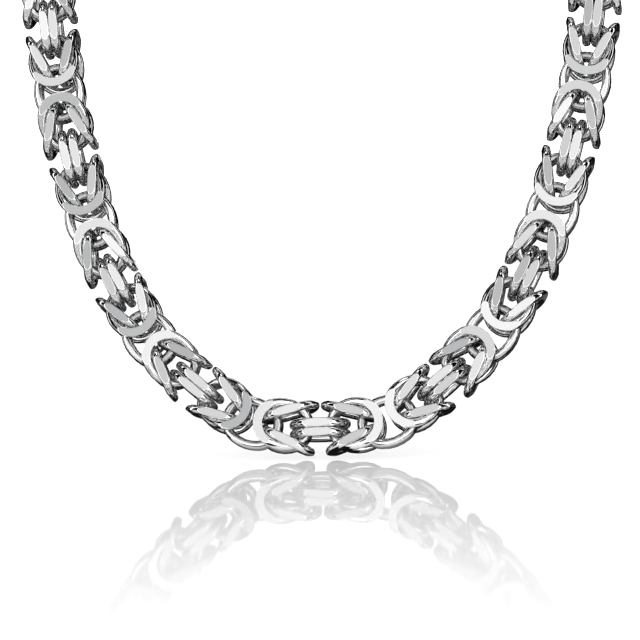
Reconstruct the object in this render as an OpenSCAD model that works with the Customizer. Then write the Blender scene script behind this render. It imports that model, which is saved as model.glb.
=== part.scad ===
// Square filed byzantine chain, a whole neck chain closed by a plain clasp.
// It hangs as when worn: the origin is under the clasp, where it rests on the nape, +Z is up
// and the front faces -Y. Millimetres and degrees.

/* [Links] */
// Diameter of the round wire that every link is bent from
wire_d = 2.02; // [1.6:0.02:2.6]
// Play across the round ends of a link's hole, over three wires side by side
side_play = 0.9; // [0.6:0.05:2]

/* [Weave] */
// Angle between a folded link and the line of the chain
tilt = 21; // [18:0.5:22]
// Gap between two wires that lie side by side
wire_gap = 0.14; // [0.1:0.01:0.3]
// Play of the folded links inside the straight pair that joins two knots
pair_play = 0.54; // [0.4:0.02:1.2]
// How far a raised end stands off the pinched end it crosses, square to the link, in wire diameters
stand_off = 0.125; // [0.12:0.005:0.28]
// Gap between the raised ends of two knots, on the inside of the sharpest bend
raised_gap = 0.37; // [0.2:0.01:1.5]
// Depth to which the front and the back of the chain are filed flat, at the raised ends
front_depth = 1.1; // [0.5:0.05:1.3]
// Depth to which the two edges of the chain are filed flat, at the raised ends
edge_depth = 0.4; // [0.1:0.05:1]

/* [Clasp] */
// Width of the clasp body, up and down
clasp_w = 9; // [6:0.5:14]
// Thickness of the clasp body, front to back
clasp_t = 7; // [4:0.5:12]
// Chamfer along the clasp body
clasp_chamfer = 1.2; // [0.4:0.1:2]
// Wire of the eye at each end of the clasp
eye_wire_d = 2; // [1.4:0.1:2.4]
// Play between the wires of the last pair and the sides of the eye
eye_play = 1.6; // [1.4:0.1:3]
// Gap between the last pair and the clasp body
clasp_gap = 0.5; // [0.3:0.1:2]

/* [Hang] */
// Angle by which the loop leans back at the nape
lean = 15; // [0:1:25]

/* [Hidden] */
// Headings of the knots of one arm, from the bottom of the loop up to the clasp, chosen by hand
route = [6, 34, 46, 58, 68.5, 73.5, 78, 82, 84, 89, 94, 104, 113, 131, 142, 170];
// Heading along the clasp, at the top of the loop
top_heading = 180;
knots = len(route);
// Each bowed side of a link turns both ways from its middle by the angle with this sine and cosine
side_sin = 0.352;
side_cos = 0.936;
side_turn = asin(side_sin);
// The radii of a link's arcs differ by a whole number of these
radius_step = 0.01;
// The legs of an eye are as long as a whole number of these
leg_step = 0.0001;
// Number of sides of the drawn curves
ring_fn = 48;
wire_fn = 16;
silver = [0.83, 0.84, 0.86];
clasp_silver = [0.76, 0.77, 0.8];

// Headings on both sides of each straight pair, and the sharpest bend at those that stand on edge
function heading_after(k) = k == knots ? top_heading : route[k];
function heading_before(k) = k == 0 ? -route[0] : route[k - 1];
function pair_heading(k) = (heading_before(k) + heading_after(k)) / 2;
bend = max([for (k = [0 : 2 : knots]) heading_after(k) - heading_before(k)]);

// The end of a hole is round, so two wires side by side stop short of its middle by this much
end_hole_r = (3 * wire_d + side_play) / 2;
pair_y = (wire_d + wire_gap) / 2;
two_wires = pair_y + wire_d / 2;
bar_play = pair_play + end_hole_r - sqrt(pow(end_hole_r, 2) - pow(two_wires, 2));

// A link on its wire's centre line: round ends joined by bowed sides, as long as the weave needs
slack = stand_off * wire_d / sin(tilt) + bar_play + raised_gap / 2 + pair_y * sin(bend / 2);
need = (3 * wire_d / 2 + slack) / (1 - 2 * sin(tilt) * sin(bend / 2));
end_r = end_hole_r + wire_d / 2;
// The sides' arcs have a radius larger than the ends' by this much, in whole steps
more_r = radius_step * ceil((need - end_r) / side_sin / radius_step);
side_r = end_r + more_r;
end_x = more_r * side_sin;
side_centre = more_r * side_cos;
reach = end_r + end_x;

// Places of the links in a knot, from the gaps that they keep
rise = pair_y + reach * sin(tilt);
raised_y = rise + reach * sin(tilt);
end_gap = raised_gap + 2 * raised_y * sin(bend / 2);
pitch = reach * (1 + 2 * cos(tilt)) - wire_d / 2 - bar_play + end_gap / 2;
shift = reach * (1 + cos(tilt)) - wire_d - bar_play - pitch / 2;
chain_w = 2 * (raised_y + wire_d / 2 - edge_depth);
chain_t = 2 * (raised_y + wire_d / 2 - front_depth);

// Centres of the straight pairs along one arm
function centre(k) = k == 0 ? [0, 0] : centre(k - 1) + pitch * [cos(route[k - 1]), sin(route[k - 1])];
arm_end = centre(knots);

// The eye of the clasp, whose bar lies in the last pair
eye_r = pair_y + (wire_d + eye_wire_d + eye_play) / 2;
eye_bar_x = arm_end[0] - reach + wire_d / 2 + eye_wire_d / 2 + bar_play;
clasp_l = 2 * (arm_end[0] - reach - wire_d / 2 - clasp_gap);
clasp_y = arm_end[1];
// The legs of an eye run from its bend into the clasp body, as deep as their wire is thick
bend_x = eye_bar_x - eye_r;
leg = leg_step * ceil((bend_x - clasp_l / 2 + eye_wire_d) / leg_step);

// One oval link, flat, its length along X
module link() {
  for (turn = [0, 180]) rotate([0, 0, turn]) {
    translate([end_x, 0, 0]) wire_arc(end_r, 90 - side_turn);
    translate([0, -side_centre, 0]) rotate([0, 0, 90]) wire_arc(side_r, side_turn);
  }
}

// Wire along an arc about the origin, by an angle both ways from +X
module wire_arc(radius, half_angle) {
  rotate([0, 0, -half_angle]) rotate_extrude(angle = 2 * half_angle, $fn = ring_fn)
    translate([radius, 0]) circle(d = wire_d, $fn = wire_fn);
}

// The files take away what stands out past the two edges, along Y, and past the front and back, along Z
module filed() {
  intersection() {
    children();
    cube([2 * pitch, chain_w, chain_t], center = true);
  }
}

// Two folded links: pinched together at -X and spread to the front and back at +X, or the other way
// round and spread to the edges
module folded_pair(quarter) {
  for (side = [-1, 1])
    filed() rotate([90 * quarter, 0, 180 * quarter])
      translate([shift, 0, side * rise]) rotate([0, -side * tilt, 0]) link();
}

module knot() {
  folded_pair(0);
  folded_pair(1);
}

// The straight pair that joins two knots, turned a quarter at every second place
module joining_pair(quarter) {
  for (side = [-1, 1])
    filed() rotate([90 * quarter, 0, 0]) translate([0, 0, side * pair_y]) link();
}

// One arm of the loop, to the right or, with side -1, to the left
module arm(side) {
  for (k = [0 : knots - 1]) {
    middle = (centre(k) + centre(k + 1)) / 2;
    translate([side * middle[0], middle[1], 0])
      rotate([0, 0, side * route[k] + (k % 2 == 0 ? 0 : 180) + (side > 0 ? 0 : 180)]) knot();
  }
  for (k = [(side > 0 ? 0 : 1) : knots]) {
    place = centre(k);
    translate([side * place[0], place[1], 0]) rotate([0, 0, side * pair_heading(k)]) joining_pair((k + 1) % 2);
  }
}

// From the plane of the loop to its place on the wearer
module hang() {
  rotate([90 - lean, 0, 0]) translate([0, clasp_w / 2 - clasp_y, 0]) children();
}

module chain_right() {
  color(silver) hang() arm(1);
}

module chain_left() {
  color(silver) hang() arm(-1);
}

// A chamfered block with an eye at each end
module clasp() {
  color(clasp_silver) hang() translate([0, clasp_y, 0]) {
    difference() {
      cube([clasp_l, clasp_w, clasp_t], center = true);
      for (y = [-1, 1]) for (z = [-1, 1])
        translate([0, y * clasp_w / 2, z * clasp_t / 2]) rotate([45, 0, 0])
          cube([2 * clasp_l, clasp_chamfer * sqrt(2), clasp_chamfer * sqrt(2)], center = true);
    }
    for (side = [-1, 1]) translate([side * bend_x, 0, 0]) rotate([0, 0, 90 - 90 * side]) eye();
  }
}

// A half ring of wire with two legs, its bend to +X
module eye() {
  rotate([0, 0, -90]) rotate_extrude(angle = 180, $fn = ring_fn)
    translate([eye_r, 0]) circle(d = eye_wire_d, $fn = wire_fn);
  for (y = [-1, 1])
    translate([0, y * eye_r, 0]) rotate([0, -90, 0]) cylinder(d = eye_wire_d, h = leg, $fn = wire_fn);
}

chain_right();
chain_left();
clasp();
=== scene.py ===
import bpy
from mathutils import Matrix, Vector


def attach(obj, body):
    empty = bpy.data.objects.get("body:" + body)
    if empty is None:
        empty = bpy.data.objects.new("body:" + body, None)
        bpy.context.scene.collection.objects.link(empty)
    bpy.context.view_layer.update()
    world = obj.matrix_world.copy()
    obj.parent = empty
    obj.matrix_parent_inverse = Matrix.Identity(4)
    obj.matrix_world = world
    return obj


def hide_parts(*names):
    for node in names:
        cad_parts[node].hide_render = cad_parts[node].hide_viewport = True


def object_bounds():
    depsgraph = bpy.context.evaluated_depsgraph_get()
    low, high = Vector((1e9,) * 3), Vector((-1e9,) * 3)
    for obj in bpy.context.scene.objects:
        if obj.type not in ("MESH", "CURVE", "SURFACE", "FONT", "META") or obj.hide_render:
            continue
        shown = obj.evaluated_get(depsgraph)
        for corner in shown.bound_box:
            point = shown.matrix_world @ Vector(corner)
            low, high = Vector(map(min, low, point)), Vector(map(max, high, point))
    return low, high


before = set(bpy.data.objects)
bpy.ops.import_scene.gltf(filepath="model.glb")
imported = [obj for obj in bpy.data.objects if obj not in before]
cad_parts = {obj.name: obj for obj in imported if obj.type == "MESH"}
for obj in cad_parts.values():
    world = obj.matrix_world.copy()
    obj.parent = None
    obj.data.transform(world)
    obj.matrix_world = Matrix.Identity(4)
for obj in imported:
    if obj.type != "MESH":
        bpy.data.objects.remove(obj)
CAD_BOX = [list(corner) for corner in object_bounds()]

import math

import bmesh
import bpy
from bpy.props import FloatProperty, FloatVectorProperty, IntProperty, PointerProperty
from mathutils import Matrix, Vector

bl_info = {
    "name": "Byzantine Chain",
    "version": (1, 0, 0),
    "blender": (4, 5, 0),
    "location": "View3D > Sidebar > Chain",
    "description": "Links, clasp and stage of a square filed byzantine neck chain",
    "category": "Add Mesh",
}

# Headings of the knots of one arm in degrees, from the bottom of the loop up to the clasp
ROUTE = (6, 34, 46, 58, 68.5, 73.5, 78, 82, 84, 89, 94, 104, 113, 131, 142, 170)
TOP_HEADING = 180
# Each bowed side of a link turns both ways from its middle by the angle with this sine and cosine,
# and the radii of a link's arcs differ by a whole number of steps
SIDE_SIN = 0.352
SIDE_COS = 0.936
SIDE_TURN = math.asin(SIDE_SIN)
RADIUS_STEP = 0.00001
FLOOR_Z = CAD_BOX[0][2]
FULL_TURN = 2 * math.pi
UP = Vector((0, 0, 1))

# Steps of a link's mesh along each end and each side
END_STEPS = 14
SIDE_STEPS = 4
# The place where a flat begins or ends is looked for at so many angles round a link, then halved in on
FLAT_SAMPLES = 720
FLAT_HALVINGS = 20
# In steps of an end: how far the usual sections keep off that place, those added on the flat's side of
# it, and the least distance between two sections
KEEP_OFF = 0.6
ADDED_STEPS = (0.0, 0.12, 0.45, 1.0)
LEAST_STEP = 0.1
# Points round the wire between its flats: of a folded link before and after its raised flat, and of a
# straight one
FOLDED_POINTS = (3, 7)
STRAIGHT_POINTS = (11,)
# Points this close are one, before and after the edges are rounded, and points this close are on a flat
SAME_POINT = 1e-7
SAME_ROUNDED = 2e-6
ON_FLAT = 2e-7
NO_LENGTH = 1e-9
# Steps across the rounded edges of the flats and of the clasp, and their round profile
EDGE_STEPS = 2
CLASP_EDGE_STEPS = 3
ROUND_PROFILE = 0.5
# Steps along the bend of the clasp's eye and round its wire, and the angle of a sharp edge
EYE_STEPS = 24
EYE_AROUND = 16
SHARP_ANGLE = math.radians(50)
# The right arm's seed is this much above the left arm's
ARM_SEEDS = 10

# Polishing marks: detail of the broad noise, detail of the fine one and how many times finer it is,
# and the range of the broad noise that swings the roughness between two factors
BROAD_DETAIL = 3.0
FINE_DETAIL = 2.0
FINE_TIMES = 6.0
SWING_NOISE = (0.3, 0.7)
SWING_FACTORS = (0.75, 1.3)

# Brightness of the studio between its cards
ROOM = 2.6
# Cards of the studio, in degrees: azimuth of the middle (0 at the front, + to the right),
# half width, elevation of the middle, half height, softness, and then their brightness
CARD_PLACES = ("Middle", "Half Width", "Height", "Half Height", "Softness")
CARDS = (
    (0, 38, 24, 18, 4, 0.98),
    (0, 60, 50, 7, 2, 0.01),
    (-73, 18, 15, 60, 2, 0.002),
    (73, 18, 15, 60, 2, 0.002),
    (-108, 10, 15, 60, 2, 0.002),
    (108, 10, 15, 60, 2, 0.002),
    (180, 64, 0, 60, 3, 0.002),
    (-180, 64, 0, 60, 3, 0.002),
    (186, 9, 6, 6, 1, 1.7),
    (-174, 9, 6, 6, 1, 1.7),
    (180, 30, 48, 7, 4, 1.0),
    (-180, 30, 48, 7, 4, 1.0),
    (0, 181, 90, 30, 3, 0.002),
    (0, 181, 90, 5, 2, 5.0),
)
# Width of the camera's sensor in millimetres, and its nearest and farthest sight in metres
SENSOR_WIDTH = 36.0
NEAR_CLIP = 0.05
FAR_CLIP = 100.0


class ChainSizes(bpy.types.PropertyGroup):
    """Sizes of the links and of the weave"""

    wire_d: FloatProperty(
        name="Wire", default=0.00202, unit="LENGTH",
        description="Diameter of the round wire of the links")
    side_play: FloatProperty(
        name="Side play", default=0.0009, unit="LENGTH",
        description="Play across the ends of a link's hole, over three wires")
    tilt: FloatProperty(
        name="Tilt", default=math.radians(21), subtype="ANGLE",
        description="Angle between a folded link and the line of the chain")
    wire_gap: FloatProperty(
        name="Wire gap", default=0.00014, unit="LENGTH",
        description="Gap between two wires side by side")
    pair_play: FloatProperty(
        name="Pair play", default=0.00054, unit="LENGTH",
        description="Play of the folded links inside the straight pair")
    stand_off: FloatProperty(
        name="Stand off", default=0.125,
        description="How far a raised end stands off the pinched end it crosses, in wire diameters")
    raised_gap: FloatProperty(
        name="Raised gap", default=0.00037, unit="LENGTH",
        description="Gap between the raised ends of two knots inside the sharpest bend")
    front_depth: FloatProperty(
        name="Front depth", default=0.0011, unit="LENGTH",
        description="Depth to which the front and back are filed flat, at the raised ends")
    edge_depth: FloatProperty(
        name="Edge depth", default=0.0004, unit="LENGTH",
        description="Depth to which the two edges are filed flat, at the raised ends")
    edge_round: FloatProperty(
        name="Edge rounding", default=0.00009, unit="LENGTH",
        description="Width of the polished edge round each flat")
    lean: FloatProperty(
        name="Lean", default=math.radians(15), subtype="ANGLE",
        description="Angle by which the loop leans back")
    looseness: FloatProperty(
        name="Looseness", default=math.radians(1.4), subtype="ANGLE",
        description="Largest turn of a link out of its place")
    seed: IntProperty(
        name="Seed", default=4,
        description="Seed of the links' turns and tones")


class ClaspSizes(bpy.types.PropertyGroup):
    """Sizes of the clasp"""

    width: FloatProperty(
        name="Width", default=0.009, unit="LENGTH",
        description="Width of the body, up and down")
    thickness: FloatProperty(
        name="Thickness", default=0.007, unit="LENGTH",
        description="Thickness of the body, front to back")
    chamfer: FloatProperty(
        name="Chamfer", default=0.0012, unit="LENGTH",
        description="Chamfer along the body")
    edge_round: FloatProperty(
        name="Edge rounding", default=0.0002, unit="LENGTH",
        description="Width of the polished edges of the body")
    eye_wire_d: FloatProperty(
        name="Eye wire", default=0.002, unit="LENGTH",
        description="Wire of the eye at each end")
    eye_play: FloatProperty(
        name="Eye play", default=0.0016, unit="LENGTH",
        description="Play between the last pair and the sides of the eye")
    gap: FloatProperty(
        name="Gap", default=0.0005, unit="LENGTH",
        description="Gap between the last pair and the body")


class SilverLooks(bpy.types.PropertyGroup):
    """Colours, painted shade and finish of the silver"""

    bright: FloatVectorProperty(
        name="Bright silver", default=(0.97, 0.97, 0.97), subtype="COLOR",
        description="Colour of the brightest links")
    grey: FloatVectorProperty(
        name="Grey silver", default=(0.44, 0.445, 0.455), subtype="COLOR",
        description="Colour of the greyest flats")
    least_bright: FloatProperty(
        name="Least bright", default=0.65, subtype="FACTOR",
        description="Least share of bright silver in the round wire of a link")
    # painted shade: the silver inside the weave is darkened to this colour, standing in for the shadow
    # between the links, and fades out between the next two shares
    painted_crevice_shade: FloatVectorProperty(
        name="Crevice", default=(0.47, 0.47, 0.475), subtype="COLOR",
        description="Colour of the silver inside the weave")
    painted_shade_fade_start: FloatProperty(
        name="Crevice end", default=0.3, subtype="FACTOR",
        description="Share of the way from the chain's middle line out to where that colour begins to fade")
    painted_shade_fade_end: FloatProperty(
        name="Open start", default=0.85, subtype="FACTOR",
        description="Share of the way from the chain's middle line out to where that colour has faded")
    wire_rough: FloatProperty(
        name="Wire roughness", default=0.02, subtype="FACTOR",
        description="Roughness of the round wire")
    flat_rough: FloatProperty(
        name="Flat roughness", default=0.16, subtype="FACTOR",
        description="Roughness of the filed flats")
    mark_scale: FloatProperty(
        name="Polishing marks", default=260.0,
        description="How many broad polishing marks lie on a metre")
    mark_strength: FloatProperty(
        name="Mark strength", default=0.06, subtype="FACTOR",
        description="Strength of the polishing marks")
    mark_depth: FloatProperty(
        name="Mark depth", default=0.0002, unit="LENGTH",
        description="Depth of the polishing marks at full strength")
    clasp_clouds: FloatProperty(
        name="Clasp clouds", default=120.0,
        description="How many soft changes of tone lie on a metre of the clasp")


class StageSizes(bpy.types.PropertyGroup):
    """Floor, light and camera"""

    floor_color: FloatVectorProperty(
        name="Floor", default=(0.93, 0.93, 0.93), subtype="COLOR",
        description="Colour of the floor")
    card_scale: FloatProperty(
        name="Floor cards", default=110.0,
        description="How many dark cards lie on a metre of the floor")
    card_edge: FloatProperty(
        name="Card edge", default=0.46,
        description="Level of the cloud pattern at which a dark card ends")
    card_soft: FloatProperty(
        name="Card softness", default=0.02,
        description="How far a dark card's soft edge reaches to both sides of that level")
    card_dark: FloatProperty(
        name="Dark card", default=0.006,
        description="Brightness of the dark cards as the silver mirrors them")
    card_bright: FloatProperty(
        name="Bright card", default=0.95,
        description="Brightness of the floor as the silver mirrors it")
    card_rear: FloatProperty(
        name="Rear card", default=0.1,
        description="Brightness of the grey card behind as the silver mirrors it")
    rear_start: FloatProperty(
        name="Rear start", default=-0.01, unit="LENGTH",
        description="Place in depth where that card begins")
    rear_end: FloatProperty(
        name="Rear end", default=0.11, unit="LENGTH",
        description="Place in depth where that card ends")
    rear_soft: FloatProperty(
        name="Rear softness", default=0.03, unit="LENGTH",
        description="Width of that card's soft edges")
    flag_start: FloatProperty(
        name="Flag start", default=-0.057, unit="LENGTH",
        description="Place in depth where the dark card behind the chain begins")
    flag_full: FloatProperty(
        name="Flag full", default=-0.042, unit="LENGTH",
        description="Place in depth from which that card is fully dark")
    floor_glow: FloatProperty(
        name="Floor glow", default=0.25,
        description="Light that the floor gives off by itself under the chain")
    front_glow: FloatProperty(
        name="Front glow", default=0.62,
        description="Light that the floor gives off by itself toward the camera")
    floor_size: FloatProperty(
        name="Floor size", default=40.0, unit="LENGTH",
        description="Width of the floor")
    floor_drop: FloatProperty(
        name="Floor drop", default=0.0004, unit="LENGTH",
        description="Gap between the lowest links and the floor")
    mirror_ior: FloatProperty(
        name="Floor IOR", default=1.12,
        description="Refractive index of the floor's polish")
    mirror_level: FloatProperty(
        name="Floor polish", default=0.5, subtype="FACTOR",
        description="Level of the floor's polish under the chain")
    floor_rough: FloatProperty(
        name="Floor roughness", default=0.035, subtype="FACTOR",
        description="Roughness of the floor's polish")
    mirror_start: FloatProperty(
        name="Mirror start", default=-0.06, unit="LENGTH",
        description="Place in depth where the floor mirrors most")
    mirror_end: FloatProperty(
        name="Mirror end", default=-0.25, unit="LENGTH",
        description="Place in depth where the floor stops mirroring")
    light: FloatProperty(
        name="Light", default=1.0,
        description="Strength of the studio light")
    backdrop: FloatProperty(
        name="Backdrop", default=1.02,
        description="Brightness of the backdrop as the camera sees it")
    azimuth: FloatProperty(
        name="Azimuth", default=math.radians(6.19), subtype="ANGLE",
        description="Turn of the camera round the chain")
    elevation: FloatProperty(
        name="Elevation", default=math.radians(5.54), subtype="ANGLE",
        description="Height of the camera above the horizon")
    roll: FloatProperty(
        name="Roll", default=math.radians(1.54), subtype="ANGLE",
        description="Turn of the camera about its axis")
    distance: FloatProperty(
        name="Distance", default=0.8997, unit="LENGTH",
        description="Distance from the camera to its target")
    target: FloatVectorProperty(
        name="Target", default=(0.00084, -0.04941, -0.15064), subtype="XYZ",
        description="Point at the centre of the picture")
    focal: FloatProperty(
        name="Focal length", default=235.19,
        description="Focal length of the lens in millimetres")


class Weave:
    """The places of the links, from the same sizes and in the same way as in the part's source"""

    def __init__(self, sizes, clasp):
        self.sizes = sizes
        self.clasp = clasp
        wire_d, tilt = sizes.wire_d, sizes.tilt
        self.knots = len(ROUTE)
        bend = max(self.heading_after(k) - self.heading_before(k) for k in range(0, self.knots + 1, 2))
        half_bend = math.sin(math.radians(bend / 2))
        end_hole_r = (3 * wire_d + sizes.side_play) / 2
        self.pair_y = (wire_d + sizes.wire_gap) / 2
        two_wires = self.pair_y + wire_d / 2
        self.bar_play = sizes.pair_play + end_hole_r - math.sqrt(end_hole_r**2 - two_wires**2)
        stand_off = sizes.stand_off * wire_d / math.sin(tilt)
        slack = stand_off + self.bar_play + sizes.raised_gap / 2 + self.pair_y * half_bend
        need = (3 * wire_d / 2 + slack) / (1 - 2 * math.sin(tilt) * half_bend)
        self.end_r = end_hole_r + wire_d / 2
        more_r = RADIUS_STEP * math.ceil((need - self.end_r) / SIDE_SIN / RADIUS_STEP)
        self.side_r = self.end_r + more_r
        self.end_x = more_r * SIDE_SIN
        self.side_centre = more_r * SIDE_COS
        self.reach = self.end_r + self.end_x
        self.rise = self.pair_y + self.reach * math.sin(tilt)
        raised_y = self.rise + self.reach * math.sin(tilt)
        end_gap = sizes.raised_gap + 2 * raised_y * half_bend
        self.pitch = self.reach * (1 + 2 * math.cos(tilt)) - wire_d / 2 - self.bar_play + end_gap / 2
        self.shift = self.reach * (1 + math.cos(tilt)) - wire_d - self.bar_play - self.pitch / 2
        self.half_w = raised_y + wire_d / 2 - sizes.edge_depth
        self.half_t = raised_y + wire_d / 2 - sizes.front_depth
        self.centres = [Vector((0, 0, 0))]
        for heading in ROUTE:
            self.centres.append(self.centres[-1] + self.pitch * self.direction(heading))

    @staticmethod
    def direction(heading):
        return Vector((math.cos(math.radians(heading)), math.sin(math.radians(heading)), 0))

    def heading_after(self, k):
        return TOP_HEADING if k == self.knots else ROUTE[k]

    def heading_before(self, k):
        return -ROUTE[0] if k == 0 else ROUTE[k - 1]

    def pair_heading(self, k):
        return (self.heading_before(k) + self.heading_after(k)) / 2

    def hang(self):
        """From the plane of the loop to its place on the wearer"""
        drop = self.clasp.width / 2 - self.centres[-1].y
        return Matrix.Rotation(math.pi / 2 - self.sizes.lean, 4, "X") @ Matrix.Translation((0, drop, 0))


def cut_angle(centre, outward, up, radius, normal, depth):
    """Where a flat cuts the round wire's section: the angle of its middle and half its width, in radians"""
    across = radius * outward.dot(normal)
    along = radius * up.dot(normal)
    size = math.hypot(across, along)
    share = (depth - centre.dot(normal)) / size if size > NO_LENGTH else 1.0
    half = math.acos(max(-1.0, share)) if share < 1.0 else 0.0
    return math.atan2(along, across), half


def centre_line(weave, turn):
    """Centre and outward direction of a link's wire where the outward direction has turned by an angle"""
    out = Vector((math.cos(turn), math.sin(turn), 0))
    if abs(out.y) > SIDE_COS:
        return out * weave.side_r - Vector((0, math.copysign(weave.side_centre, out.y), 0)), out
    return out * weave.end_r + Vector((math.copysign(weave.end_x, out.x), 0, 0)), out


def link_sections(weave, place, flats):
    """Angles round a link's centre line for its sections, closer together where a flat begins or ends"""
    turned = place.to_3x3()
    radius = weave.sizes.wire_d / 2

    def is_cut(turn, flat):
        centre, out = centre_line(weave, turn)
        return cut_angle(place @ centre, turned @ out, turned @ UP, radius, *flat)[1] > 0

    end_turn = math.pi / 2 - SIDE_TURN
    step = 2 * end_turn / END_STEPS
    stops = []
    for quarter in range(4):
        half, steps = (SIDE_TURN, SIDE_STEPS) if quarter % 2 else (end_turn, END_STEPS)
        stops += [quarter * math.pi / 2 + half * (2 * k / steps - 1) for k in range(steps)]
    samples = [FULL_TURN * k / FLAT_SAMPLES for k in range(FLAT_SAMPLES + 1)]
    ends = []
    for flat in flats:
        for low, high in zip(samples, samples[1:]):
            starts = is_cut(high, flat)
            if is_cut(low, flat) == starts:
                continue
            for _ in range(FLAT_HALVINGS):
                middle = (low + high) / 2
                if is_cut(middle, flat) == starts:
                    high = middle
                else:
                    low = middle
            ends.append((low, 1) if starts else (high, -1))

    def is_clear(stop):
        away = [abs((stop - end + math.pi) % FULL_TURN - math.pi) for end, _ in ends]
        return all(distance > KEEP_OFF * step for distance in away)

    kept = [stop % FULL_TURN for stop in stops if is_clear(stop)]
    for end, way in ends:
        kept += [(end + way * share * step) % FULL_TURN for share in ADDED_STEPS]
    kept.sort()
    sections = [kept[0]]
    for turn in kept[1:]:
        if turn - sections[-1] > LEAST_STEP * step:
            sections.append(turn)
    return sections


def skin(bm, ring, following):
    """Smooth faces between two rings of points"""
    faces = []
    for j in range(len(ring)):
        after = (j + 1) % len(ring)
        face = bm.faces.new((ring[j], ring[after], following[after], following[j]))
        face.smooth = True
        faces.append(face)
    return faces


def plain_mesh(name, bm):
    mesh = bpy.data.meshes.new(name)
    bm.to_mesh(mesh)
    bm.free()
    return mesh


def ring_angles(cuts, between):
    """Angles of the points round the wire: the two edges of each flat and the points up to the next flat"""
    # the flats of the two sides share one place on the ring, at the outer side of the wire
    side_half = max(cuts[0][1], cuts[1][1])
    marks = [(0.0, side_half)]
    marks += [(middle % FULL_TURN, half) for middle, half in cuts[2:]]
    marks.append((FULL_TURN, side_half))
    angles = []
    for (middle, half), (next_middle, next_half), count in zip(marks, marks[1:], between):
        span = next_middle - next_half - middle - half
        angles += [middle - half, middle + half]
        angles += [middle + half + span * (j + 1) / (count + 1) for j in range(count)]
    return angles


def link_mesh(name, weave, place, half_y, half_z, between, raised):
    """One link with filed flats: rings of points whose first ones lie on the edges of the flats"""
    flats = [(Vector((0, 1, 0)), half_y), (Vector((0, -1, 0)), half_y)]
    if raised:
        flats.append((UP, half_z))
    offset = 0.0 if raised else weave.pair_y
    bm = bmesh.new()
    filed = bm.faces.layers.float.new("filed")
    outer = bm.verts.layers.float.new("outer")
    turned = place.to_3x3()
    up = turned @ UP
    radius = weave.sizes.wire_d / 2
    rings = []
    for turn in link_sections(weave, place, flats):
        centre, out = centre_line(weave, turn)
        centre, out = place @ centre, turned @ out
        angles = ring_angles([cut_angle(centre, out, up, radius, *flat) for flat in flats], between)
        points = [centre + radius * (math.cos(a) * out + math.sin(a) * up) for a in angles]
        rings.append([bm.verts.new(point) for point in points])
    flat_columns = (0, between[0] + 2) if raised else (0,)
    for ring, following in zip(rings, rings[1:] + rings[:1]):
        for column, face in enumerate(skin(bm, ring, following)):
            face[filed] = 1.0 if column in flat_columns else 0.0
    bmesh.ops.remove_doubles(bm, verts=bm.verts, dist=SAME_POINT)
    bmesh.ops.recalc_face_normals(bm, faces=bm.faces)
    border = []
    for edge in bm.edges:
        if len(edge.link_faces) == 2 and edge.link_faces[0][filed] != edge.link_faces[1][filed]:
            border.append(edge)
    bmesh.ops.bevel(
        bm, geom=border, offset=weave.sizes.edge_round, offset_type="OFFSET", segments=EDGE_STEPS,
        profile=ROUND_PROFILE, affect="EDGES", clamp_overlap=False)
    bmesh.ops.remove_doubles(bm, verts=bm.verts, dist=SAME_ROUNDED)
    for face in bm.faces:
        on_flat = any(all(abs(v.co.dot(n) - d) < ON_FLAT for v in face.verts) for n, d in flats)
        face[filed] = 1.0 if on_flat else 0.0
    for edge in bm.edges:
        edge.smooth = edge.link_faces[0][filed] == edge.link_faces[-1][filed]
    # how far out from the chain's middle line each point lies; the links' material darkens the silver by it
    # as painted shade inside the weave
    for vert in bm.verts:
        vert[outer] = max(abs(vert.co.y) / half_y, abs(vert.co.z + offset) / half_z)
    # a link's faces can all have come out looking inward
    if bm.calc_volume(signed=True) < 0:
        bmesh.ops.reverse_faces(bm, faces=bm.faces)
    return plain_mesh(name, bm)


def add_node(tree, kind, inputs=None, **settings):
    """Adds a node, sets its settings, and links or fills its inputs by name or number"""
    node = tree.nodes.new(kind)
    for key, value in settings.items():
        setattr(node, key, value)
    for key, value in (inputs or {}).items():
        socket = node.inputs[key]
        if isinstance(value, bpy.types.NodeSocket):
            tree.links.new(value, socket)
        else:
            socket.default_value = value
    return node


def result(tree, kind, inputs=None, output=0, **settings):
    """The first output of a new node, or another one by its name or number"""
    return add_node(tree, kind, inputs, **settings).outputs[output]


def math_node(tree, operation, *values):
    return result(tree, "ShaderNodeMath", dict(enumerate(values)), operation=operation)


def ramp(tree, value, start, end, first=0.0, last=1.0, shape="LINEAR"):
    """A number that goes from first to last while the value goes from start to end"""
    inputs = {0: value, 1: start, 2: end, 3: first, 4: last}
    return result(tree, "ShaderNodeMapRange", inputs, interpolation_type=shape)


def blend(tree, share, first, last):
    return result(tree, "ShaderNodeMix", {"Factor": share, 2: first, 3: last}, data_type="FLOAT")


def blend_colors(tree, share, first, last):
    inputs = {"Factor": share, 6: first, 7: last}
    return result(tree, "ShaderNodeMix", inputs, 2, data_type="RGBA")


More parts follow.
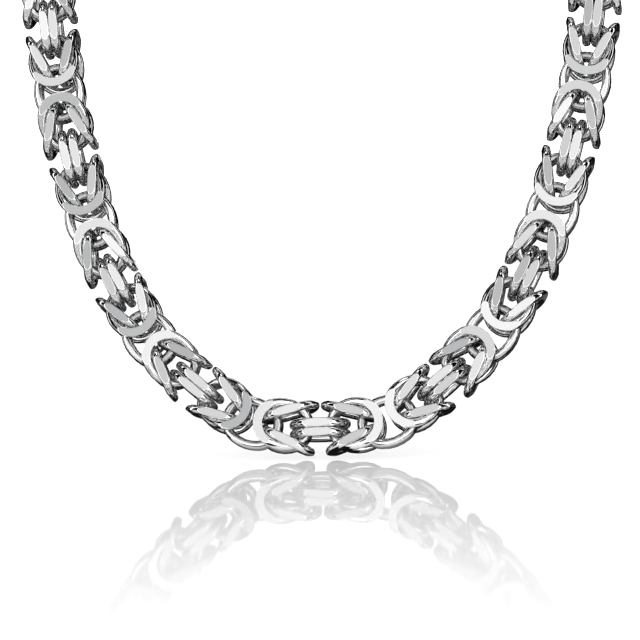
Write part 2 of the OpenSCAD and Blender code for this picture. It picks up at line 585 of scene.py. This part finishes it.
def arm_tree():
    """Geometry nodes that set folded links on the edges of a route and straight links on its points"""
    tree = bpy.data.node_groups.new("chain_arm", "GeometryNodeTree")
    sockets = (
        ("Route", "NodeSocketGeometry"),
        ("Folded To Front", "NodeSocketObject"),
        ("Folded To Edges", "NodeSocketObject"),
        ("Pair Lying", "NodeSocketObject"),
        ("Pair On Edge", "NodeSocketObject"),
        ("Pair Offset", "NodeSocketFloat"),
        ("Front", "NodeSocketVector"),
        ("Looseness", "NodeSocketFloat"),
        ("Seed", "NodeSocketInt"),
        ("Material", "NodeSocketMaterial"),
    )
    for name, kind in sockets:
        tree.interface.new_socket(name, in_out="INPUT", socket_type=kind)
    tree.interface.new_socket("Links", in_out="OUTPUT", socket_type="NodeSocketGeometry")
    given = tree.nodes.new("NodeGroupInput").outputs
    odd = math_node(tree, "MODULO", result(tree, "GeometryNodeInputIndex"), 2.0)
    even = math_node(tree, "SUBTRACT", 1.0, odd)
    most = given["Looseness"]
    least = result(tree, "ShaderNodeVectorMath", {0: most, 1: (-1.0, -1.0, -1.0)}, operation="MULTIPLY")
    groups = []

    def angles(x, z):
        return result(tree, "ShaderNodeCombineXYZ", {0: x, 2: z})

    def turned(rotation, more):
        """A rotation with more angles about its own axes"""
        by = result(tree, "FunctionNodeEulerToRotation", {0: more})
        return result(tree, "FunctionNodeRotateRotation", {0: rotation, 1: by}, rotation_space="LOCAL")

    def axes(name):
        """The rotation with X along a named direction and Z to the front of the chain"""
        way = result(tree, "GeometryNodeInputNamedAttribute", {"Name": name}, data_type="FLOAT_VECTOR")
        inputs = {0: way, 1: given["Front"]}
        return result(tree, "FunctionNodeAxesToRotation", inputs, primary_axis="X", secondary_axis="Z")

    def stored(geometry, name, value, kind, domain):
        inputs = {"Geometry": geometry, "Name": name, "Value": value}
        return result(tree, "GeometryNodeStoreNamedAttribute", inputs, data_type=kind, domain=domain)

    def scatter(points, kind, rotation, lift=None):
        """Adds links that are a little loose in their places, each with a tone of its own"""
        link = result(tree, "GeometryNodeObjectInfo", {"Object": given[kind]}, "Geometry")
        seed = math_node(tree, "ADD", given["Seed"], float(len(groups)))
        inputs = {0: least, 1: most, "Seed": seed}
        loose = result(tree, "FunctionNodeRandomValue", inputs, data_type="FLOAT_VECTOR")
        inputs = {"Points": points, "Instance": link, "Rotation": turned(rotation, loose)}
        placed = result(tree, "GeometryNodeInstanceOnPoints", inputs)
        if lift is not None:
            inputs = {"Instances": placed, "Translation": lift, "Local Space": True}
            placed = result(tree, "GeometryNodeTranslateInstances", inputs)
        tone = result(tree, "FunctionNodeRandomValue", {"Seed": seed}, 1, data_type="FLOAT")
        groups.append(stored(placed, "tone", tone, "FLOAT", "INSTANCE"))

    # knots on the edges, every second one the other way round
    ends = add_node(tree, "GeometryNodeInputMeshEdgeVertices").outputs
    inputs = {0: ends["Position 2"], 1: ends["Position 1"]}
    along = result(tree, "ShaderNodeVectorMath", inputs, operation="SUBTRACT")
    marked = stored(given["Route"], "knot_along", along, "FLOAT_VECTOR", "EDGE")
    knots = result(tree, "GeometryNodeMeshToPoints", {"Mesh": marked}, mode="EDGES")
    knot_turn = turned(axes("knot_along"), angles(0.0, math_node(tree, "MULTIPLY", odd, math.pi)))
    folds = (
        ("Folded To Front", 0, 0),
        ("Folded To Front", math.pi, 0),
        ("Folded To Edges", math.pi / 2, math.pi),
        ("Folded To Edges", 3 * math.pi / 2, math.pi),
    )
    for kind, x, z in folds:
        scatter(knots, kind, turned(knot_turn, angles(x, z)))

    # straight pairs on the points, lying at the odd ones and on edge at the even ones
    pairs = result(tree, "GeometryNodeMeshToPoints", {"Mesh": given["Route"]}, mode="VERTICES")
    holds = result(tree, "GeometryNodeInputNamedAttribute", {"Name": "holds_pair"}, data_type="BOOLEAN")
    pair_turn = axes("pair_along")
    lift = result(tree, "ShaderNodeCombineXYZ", {2: given["Pair Offset"]})
    for kind, place, turn in (("Pair Lying", odd, 0.0), ("Pair On Edge", even, math.pi / 2)):
        wanted = result(tree, "FunctionNodeBooleanMath", {0: holds, 1: place}, operation="AND")
        unwanted = result(tree, "FunctionNodeBooleanMath", {0: wanted}, operation="NOT")
        inputs = {"Geometry": pairs, "Selection": unwanted}
        chosen = result(tree, "GeometryNodeDeleteGeometry", inputs, domain="POINT")
        for half_turn in (0, math.pi):
            scatter(chosen, kind, turned(pair_turn, angles(turn + half_turn, 0.0)), lift)

    joined = tree.nodes.new("GeometryNodeJoinGeometry")
    for group in groups:
        tree.links.new(group, joined.inputs[0])
    real = result(tree, "GeometryNodeRealizeInstances", {0: joined.outputs[0]})
    final = result(tree, "GeometryNodeSetMaterial", {"Geometry": real, "Material": given["Material"]})
    tree.links.new(final, tree.nodes.new("NodeGroupOutput").inputs[0])
    return tree


def set_inputs(modifier, values):
    """Sets a nodes modifier's inputs by the identifiers of their sockets"""
    for item in modifier.node_group.interface.items_tree:
        if item.item_type == "SOCKET" and item.in_out == "INPUT" and item.name in values:
            modifier[item.identifier] = values[item.name]


def finished(obj):
    """Turns an object with modifiers into a plain mesh object"""
    bpy.context.view_layer.update()
    evaluated = obj.evaluated_get(bpy.context.evaluated_depsgraph_get())
    mesh = bpy.data.meshes.new_from_object(evaluated)
    obj.modifiers.clear()
    obj.data = mesh
    for name in ("tone", "filed"):
        if name not in mesh.attributes:
            raise RuntimeError("the links lost their attribute " + name)
    return obj


def linked(name, data):
    """A new object in the scene"""
    obj = bpy.data.objects.new(name, data)
    bpy.context.scene.collection.objects.link(obj)
    return obj


def polish_marks():
    """Shader group: a height for the bump and a roughness that swings, higher on the filed flats"""
    group = bpy.data.node_groups.get("polish_marks")
    if group:
        return group
    group = bpy.data.node_groups.new("polish_marks", "ShaderNodeTree")
    for name in ("Scale", "Wire Roughness", "Flat Roughness", "Filed"):
        group.interface.new_socket(name, in_out="INPUT", socket_type="NodeSocketFloat")
    for name in ("Roughness", "Height"):
        group.interface.new_socket(name, in_out="OUTPUT", socket_type="NodeSocketFloat")
    given = group.nodes.new("NodeGroupInput").outputs
    place = result(group, "ShaderNodeTexCoord", output="Object")
    inputs = {"Vector": place, "Scale": given["Scale"], "Detail": BROAD_DETAIL}
    broad = result(group, "ShaderNodeTexNoise", inputs)
    fine_scale = math_node(group, "MULTIPLY", given["Scale"], FINE_TIMES)
    inputs = {"Vector": place, "Scale": fine_scale, "Detail": FINE_DETAIL}
    fine = result(group, "ShaderNodeTexNoise", inputs)
    base = blend(group, given["Filed"], given["Wire Roughness"], given["Flat Roughness"])
    swing = ramp(group, broad, *SWING_NOISE, *SWING_FACTORS)
    end = group.nodes.new("NodeGroupOutput")
    group.links.new(math_node(group, "MULTIPLY", base, swing), end.inputs["Roughness"])
    group.links.new(math_node(group, "MULTIPLY", broad, fine), end.inputs["Height"])
    return group


def silver_material(name, looks):
    """Polished silver without its colour: the material, its polishing marks and its node tree"""
    material = bpy.data.materials.new(name)
    material.use_nodes = True
    tree = material.node_tree
    shader = tree.nodes["Principled BSDF"]
    shader.inputs["Metallic"].default_value = 1.0
    inputs = {
        "Scale": looks.mark_scale,
        "Wire Roughness": looks.wire_rough,
        "Flat Roughness": looks.flat_rough,
    }
    marks = add_node(tree, "ShaderNodeGroup", inputs, node_tree=polish_marks())
    tree.links.new(marks.outputs["Roughness"], shader.inputs["Roughness"])
    inputs = {
        "Height": marks.outputs["Height"],
        "Strength": looks.mark_strength,
        "Distance": looks.mark_depth,
    }
    tree.links.new(result(tree, "ShaderNodeBump", inputs), shader.inputs["Normal"])
    return material, marks, tree


def link_silver(looks):
    """Silver of the links, whose tone changes from link to link, with painted shade that darkens it inside
    the weave
    """
    material, marks, tree = silver_material("polished_silver", looks)
    filed = result(tree, "ShaderNodeAttribute", output="Fac", attribute_name="filed")
    tone = result(tree, "ShaderNodeAttribute", output="Fac", attribute_name="tone")
    outer = result(tree, "ShaderNodeAttribute", output="Fac", attribute_name="outer")
    tree.links.new(filed, marks.inputs["Filed"])
    least = ramp(tree, filed, 0.0, 1.0, looks.least_bright, 0.0)
    shade = ramp(tree, tone, 0.0, 1.0, least, 1.0)
    # painted shade: the silver is darkened toward the chain's middle line, standing in for the shadow
    # inside the weave
    unshaded_share = ramp(tree, outer, looks.painted_shade_fade_start, looks.painted_shade_fade_end, shape="SMOOTHSTEP")
    color = blend_colors(tree, shade, (*looks.grey, 1.0), (*looks.bright, 1.0))
    color = blend_colors(tree, unshaded_share, (*looks.painted_crevice_shade, 1.0), color)
    tree.links.new(color, tree.nodes["Principled BSDF"].inputs["Base Color"])
    return material


def clasp_silver(looks):
    """Silver of the clasp, whose tone changes softly over it"""
    material, _, tree = silver_material("polished_clasp", looks)
    place = result(tree, "ShaderNodeTexCoord", output="Object")
    cloud = result(tree, "ShaderNodeTexNoise", {"Vector": place, "Scale": looks.clasp_clouds})
    color = blend_colors(tree, cloud, (*looks.grey, 1.0), (*looks.bright, 1.0))
    tree.links.new(color, tree.nodes["Principled BSDF"].inputs["Base Color"])
    return material


def link_tools(weave):
    """One object for each kind of link, for the nodes to repeat"""
    tilt = Matrix.Rotation(-weave.sizes.tilt, 4, "Y")
    fold = Matrix.Translation((weave.shift, 0, weave.rise)) @ tilt
    flat = Matrix.Identity(4)
    half_w, half_t = weave.half_w, weave.half_t
    kinds = {
        "Folded To Front": ("folded_to_front", fold, half_w, half_t, FOLDED_POINTS, True),
        "Folded To Edges": ("folded_to_edges", fold, half_t, half_w, FOLDED_POINTS, True),
        "Pair Lying": ("pair_lying", flat, half_w, half_t, STRAIGHT_POINTS, False),
        "Pair On Edge": ("pair_on_edge", flat, half_t, half_w, STRAIGHT_POINTS, False),
    }
    return {kind: linked(name, link_mesh(name, weave, *form)) for kind, (name, *form) in kinds.items()}


def route_mesh(name, weave, side):
    """The route of one arm: a point for each straight pair and an edge for each knot"""
    hang = weave.hang()
    mirror = Vector((side, 1, 1))
    mesh = bpy.data.meshes.new(name)
    points = [hang @ (mirror * centre) for centre in weave.centres]
    mesh.from_pydata(points, [(k, k + 1) for k in range(weave.knots)], [])
    along = mesh.attributes.new("pair_along", "FLOAT_VECTOR", "POINT")
    holds = mesh.attributes.new("holds_pair", "BOOLEAN", "POINT")
    for k in range(weave.knots + 1):
        along.data[k].vector = hang.to_3x3() @ (mirror * weave.direction(weave.pair_heading(k)))
        # the right arm has the pair at the bottom of the loop
        holds.data[k].value = side > 0 or k > 0
    return mesh


class CHAIN_OT_arms(bpy.types.Operator):
    """Sets the links of both arms along the route"""

    bl_idname = "chain.arms"
    bl_label = "Chain arms"

    def execute(self, context):
        sizes = context.scene.chain_sizes
        weave = Weave(sizes, context.scene.clasp_sizes)
        tools = link_tools(weave)
        material = link_silver(context.scene.silver_looks)
        tree = arm_tree()
        for name, side in (("chain_right", 1), ("chain_left", -1)):
            piece = linked(name + "_links", route_mesh(name + "_links", weave, side))
            modifier = piece.modifiers.new("links", "NODES")
            modifier.node_group = tree
            set_inputs(modifier, {
                **tools,
                "Pair Offset": weave.pair_y,
                "Front": weave.hang().to_3x3() @ UP,
                "Looseness": sizes.looseness,
                "Seed": sizes.seed + (ARM_SEEDS if side > 0 else 0),
                "Material": material,
            })
            finished(piece)
            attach(piece, "root")
            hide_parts(name)
        for tool in tools.values():
            bpy.data.objects.remove(tool)
        return {"FINISHED"}


def add_block(bm, length, clasp):
    """The chamfered body of the clasp, along X, with rounded edges"""
    y, z = clasp.width / 2, clasp.thickness / 2
    in_y, in_z = y - clasp.chamfer, z - clasp.chamfer
    quarter = ((y, in_z), (in_y, z), (-in_y, z), (-y, in_z))
    outline = quarter + tuple((-a, -b) for a, b in quarter)
    rings = [[bm.verts.new((x, a, b)) for a, b in outline] for x in (-length / 2, length / 2)]
    skin(bm, *rings)
    for ring in rings:
        bm.faces.new(ring)
    bmesh.ops.recalc_face_normals(bm, faces=bm.faces)
    bmesh.ops.bevel(
        bm, geom=list(bm.edges), offset=clasp.edge_round, offset_type="OFFSET",
        segments=CLASP_EDGE_STEPS, profile=ROUND_PROFILE, affect="EDGES")
    for face in bm.faces:
        face.smooth = True


def add_eye(bm, side, start_x, bend_x, eye_r, wire_r):
    """One eye of the clasp: two legs and a half ring of wire, its bend to the side"""
    bends = [math.pi * k / EYE_STEPS for k in range(1, EYE_STEPS)]
    path = [Vector((start_x, -eye_r, 0)), Vector((bend_x, -eye_r, 0))]
    path += [Vector((bend_x + eye_r * math.sin(a), -eye_r * math.cos(a), 0)) for a in bends]
    path += [Vector((bend_x, eye_r, 0)), Vector((start_x, eye_r, 0))]
    around = [FULL_TURN * j / EYE_AROUND for j in range(EYE_AROUND)]
    rings = []
    for k, point in enumerate(path):
        ahead = path[min(k + 1, len(path) - 1)] - path[max(k - 1, 0)]
        out = Vector((ahead.y, -ahead.x, 0)).normalized()
        ring = [point + wire_r * (math.cos(a) * out + math.sin(a) * UP) for a in around]
        rings.append([bm.verts.new((side * v.x, v.y, v.z)) for v in ring])
    for ring, following in zip(rings, rings[1:]):
        skin(bm, ring, following)
    bm.faces.new(rings[0])
    bm.faces.new(rings[-1])


class CHAIN_OT_clasp(bpy.types.Operator):
    """Makes the clasp: a chamfered block with rounded edges and an eye at each end"""

    bl_idname = "chain.clasp"
    bl_label = "Clasp"

    def execute(self, context):
        sizes, clasp = context.scene.chain_sizes, context.scene.clasp_sizes
        weave = Weave(sizes, clasp)
        end = weave.centres[-1]
        wire_r = clasp.eye_wire_d / 2
        eye_r = weave.pair_y + (sizes.wire_d + clasp.eye_wire_d + clasp.eye_play) / 2
        bend_x = end.x - weave.reach + sizes.wire_d / 2 + wire_r + weave.bar_play - eye_r
        length = 2 * (end.x - weave.reach - sizes.wire_d / 2 - clasp.gap)
        bm = bmesh.new()
        add_block(bm, length, clasp)
        for side in (-1, 1):
            add_eye(bm, side, length / 2 - clasp.eye_wire_d, bend_x, eye_r, wire_r)
        bmesh.ops.recalc_face_normals(bm, faces=bm.faces)
        mesh = plain_mesh("clasp_body", bm)
        mesh.transform(weave.hang() @ Matrix.Translation((0, end.y, 0)))
        mesh.set_sharp_from_angle(angle=SHARP_ANGLE)
        mesh.materials.append(clasp_silver(context.scene.silver_looks))
        piece = linked("clasp_body", mesh)
        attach(piece, "root")
        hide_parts("clasp")
        return {"FINISHED"}


def soft_card():
    """Shader group: how much of a card of the studio lies in a direction, with soft edges"""
    group = bpy.data.node_groups.new("studio_card", "ShaderNodeTree")
    for name in ("Azimuth", "Elevation", *CARD_PLACES):
        group.interface.new_socket(name, in_out="INPUT", socket_type="NodeSocketFloat")
    group.interface.new_socket("Mask", in_out="OUTPUT", socket_type="NodeSocketFloat")
    given = group.nodes.new("NodeGroupInput").outputs

    def inside(value, middle, half):
        away = math_node(group, "ABSOLUTE", math_node(group, "SUBTRACT", value, middle))
        share = math_node(group, "DIVIDE", math_node(group, "SUBTRACT", half, away), given["Softness"])
        return ramp(group, share, -1.0, 1.0, shape="SMOOTHSTEP")

    across = inside(given["Azimuth"], given["Middle"], given["Half Width"])
    upright = inside(given["Elevation"], given["Height"], given["Half Height"])
    both = math_node(group, "MULTIPLY", across, upright)
    group.links.new(both, group.nodes.new("NodeGroupOutput").inputs[0])
    return group


def studio_world(strength, backdrop):
    """A soft studio in the sky: a pale room with brighter and black cards"""
    world = bpy.data.worlds.new("studio")
    bpy.context.scene.world = world
    world.use_nodes = True
    tree = world.node_tree
    way = result(tree, "ShaderNodeTexCoord", output="Generated")
    x, y, z = add_node(tree, "ShaderNodeSeparateXYZ", {0: way}).outputs
    turn = math_node(tree, "ARCTAN2", x, math_node(tree, "MULTIPLY", y, -1.0))
    azimuth = math_node(tree, "DEGREES", turn)
    elevation = math_node(tree, "DEGREES", math_node(tree, "ARCSINE", z))
    group = soft_card()
    level = ROOM
    for *places, bright in CARDS:
        inputs = {"Azimuth": azimuth, "Elevation": elevation, **dict(zip(CARD_PLACES, places))}
        mask = result(tree, "ShaderNodeGroup", inputs, node_tree=group)
        level = blend(tree, mask, level, bright)
    amount = math_node(tree, "MULTIPLY", level, strength)
    seen = result(tree, "ShaderNodeLightPath", output="Is Camera Ray")
    ground = tree.nodes["Background"]
    tree.links.new(blend(tree, seen, amount, backdrop), ground.inputs["Strength"])
    ground.inputs["Color"].default_value = (1, 1, 1, 1)


def floor_material(stage):
    """A pale floor with a thin polish, which gives off some light by itself"""
    material = bpy.data.materials.new("pale_floor")
    material.use_nodes = True
    tree = material.node_tree
    shader = tree.nodes["Principled BSDF"]
    place = result(tree, "ShaderNodeTexCoord", output="Object")
    depth = result(tree, "ShaderNodeSeparateXYZ", {0: place}, 1)
    # the silver mirrors small dark cards that lie on the floor
    inputs = {"Vector": place, "Scale": stage.card_scale, "Detail": 0.0}
    cloud = result(tree, "ShaderNodeTexNoise", inputs)
    low, high = stage.card_edge - stage.card_soft, stage.card_edge + stage.card_soft
    spread = ramp(tree, cloud, low, high, stage.card_dark, stage.card_bright, "SMOOTHSTEP")
    # and behind the chain a dark card, with a grey one past it for the back of the chain
    behind = ramp(tree, depth, stage.flag_start, stage.flag_full, shape="SMOOTHSTEP")
    fades_in = ramp(tree, depth, stage.rear_start, stage.rear_start + stage.rear_soft)
    rear_off = stage.rear_end + stage.rear_soft
    fades_out = ramp(tree, depth, stage.rear_end, rear_off, stage.card_rear, stage.card_dark)
    rear = blend(tree, fades_in, stage.card_dark, fades_out)
    mirrored = blend(tree, behind, spread, rear)
    # the floor mirrors less toward the camera, and gives off more light by itself
    near = ramp(tree, depth, stage.mirror_start, stage.mirror_end)
    own_light = blend(tree, near, stage.floor_glow, stage.front_glow)
    mirror = ramp(tree, near, 0.0, 1.0, stage.mirror_level, 0.0)
    seen = result(tree, "ShaderNodeLightPath", output="Is Glossy Ray")
    tint = blend_colors(tree, seen, (*stage.floor_color, 1.0), (0.0, 0.0, 0.0, 1.0))
    glow = blend(tree, seen, own_light, mirrored)
    tree.links.new(tint, shader.inputs["Base Color"])
    tree.links.new(glow, shader.inputs["Emission Strength"])
    tree.links.new(mirror, shader.inputs["Specular IOR Level"])
    shader.inputs["Emission Color"].default_value = (1.0, 1.0, 1.0, 1.0)
    shader.inputs["IOR"].default_value = stage.mirror_ior
    shader.inputs["Roughness"].default_value = stage.floor_rough
    return material


def floor_mesh(stage):
    z = FLOOR_Z - stage.floor_drop
    half = stage.floor_size / 2
    mesh = bpy.data.meshes.new("floor")
    corners = [(x * half, y * half, z) for x, y in ((-1, -1), (1, -1), (1, 1), (-1, 1))]
    mesh.from_pydata(corners, [], [(0, 1, 2, 3)])
    mesh.materials.append(floor_material(stage))
    return mesh


def stage_camera(stage):
    """The camera, turned and raised round its target and rolled about its own axis"""
    camera = bpy.data.cameras.new("camera")
    camera.sensor_width = SENSOR_WIDTH
    camera.lens = stage.focal
    camera.clip_start = NEAR_CLIP
    camera.clip_end = FAR_CLIP
    holder = linked("camera", camera)
    azimuth, elevation = stage.azimuth, stage.elevation
    away = math.cos(elevation)
    back = Vector((math.sin(azimuth) * away, -math.cos(azimuth) * away, math.sin(elevation)))
    holder.location = Vector(stage.target) + back * stage.distance
    aim = (-back).to_track_quat("-Z", "Y").to_matrix().to_4x4()
    holder.rotation_euler = (aim @ Matrix.Rotation(-stage.roll, 4, "Z")).to_euler()
    return holder


class CHAIN_OT_stage(bpy.types.Operator):
    """Makes the floor, the studio light and the camera"""

    bl_idname = "chain.stage"
    bl_label = "Stage"

    def execute(self, context):
        scene = context.scene
        stage = scene.stage_sizes
        linked("floor", floor_mesh(stage))
        studio_world(stage.light, stage.backdrop)
        scene.camera = stage_camera(stage)
        scene.view_settings.view_transform = "Standard"
        return {"FINISHED"}


class CHAIN_PT_panel(bpy.types.Panel):
    """Sizes, looks and stage of the chain"""

    bl_idname = "CHAIN_PT_panel"
    bl_label = "Byzantine chain"
    bl_space_type = "VIEW_3D"
    bl_region_type = "UI"
    bl_category = "Chain"

    def draw(self, context):
        layout = self.layout
        scene = context.scene
        for title, group, operator in (
            ("Links", scene.chain_sizes, "chain.arms"),
            ("Clasp", scene.clasp_sizes, "chain.clasp"),
            ("Silver", scene.silver_looks, None),
            ("Stage", scene.stage_sizes, "chain.stage"),
        ):
            box = layout.box()
            box.label(text=title)
            for name in group.__annotations__:
                box.prop(group, name)
            if operator:
                box.operator(operator)


GROUPS = {
    "chain_sizes": ChainSizes,
    "clasp_sizes": ClaspSizes,
    "silver_looks": SilverLooks,
    "stage_sizes": StageSizes,
}
CLASSES = (*GROUPS.values(), CHAIN_OT_arms, CHAIN_OT_clasp, CHAIN_OT_stage, CHAIN_PT_panel)


def register():
    for cls in CLASSES:
        bpy.utils.register_class(cls)
    for name, cls in GROUPS.items():
        setattr(bpy.types.Scene, name, PointerProperty(type=cls))


def unregister():
    for name in GROUPS:
        delattr(bpy.types.Scene, name)
    for cls in reversed(CLASSES):
        bpy.utils.unregister_class(cls)


def main():
    register()
    bpy.ops.chain.arms()
    bpy.ops.chain.clasp()
    bpy.ops.chain.stage()
    bpy.context.view_layer.update()


if __name__ == "__main__":
    main()
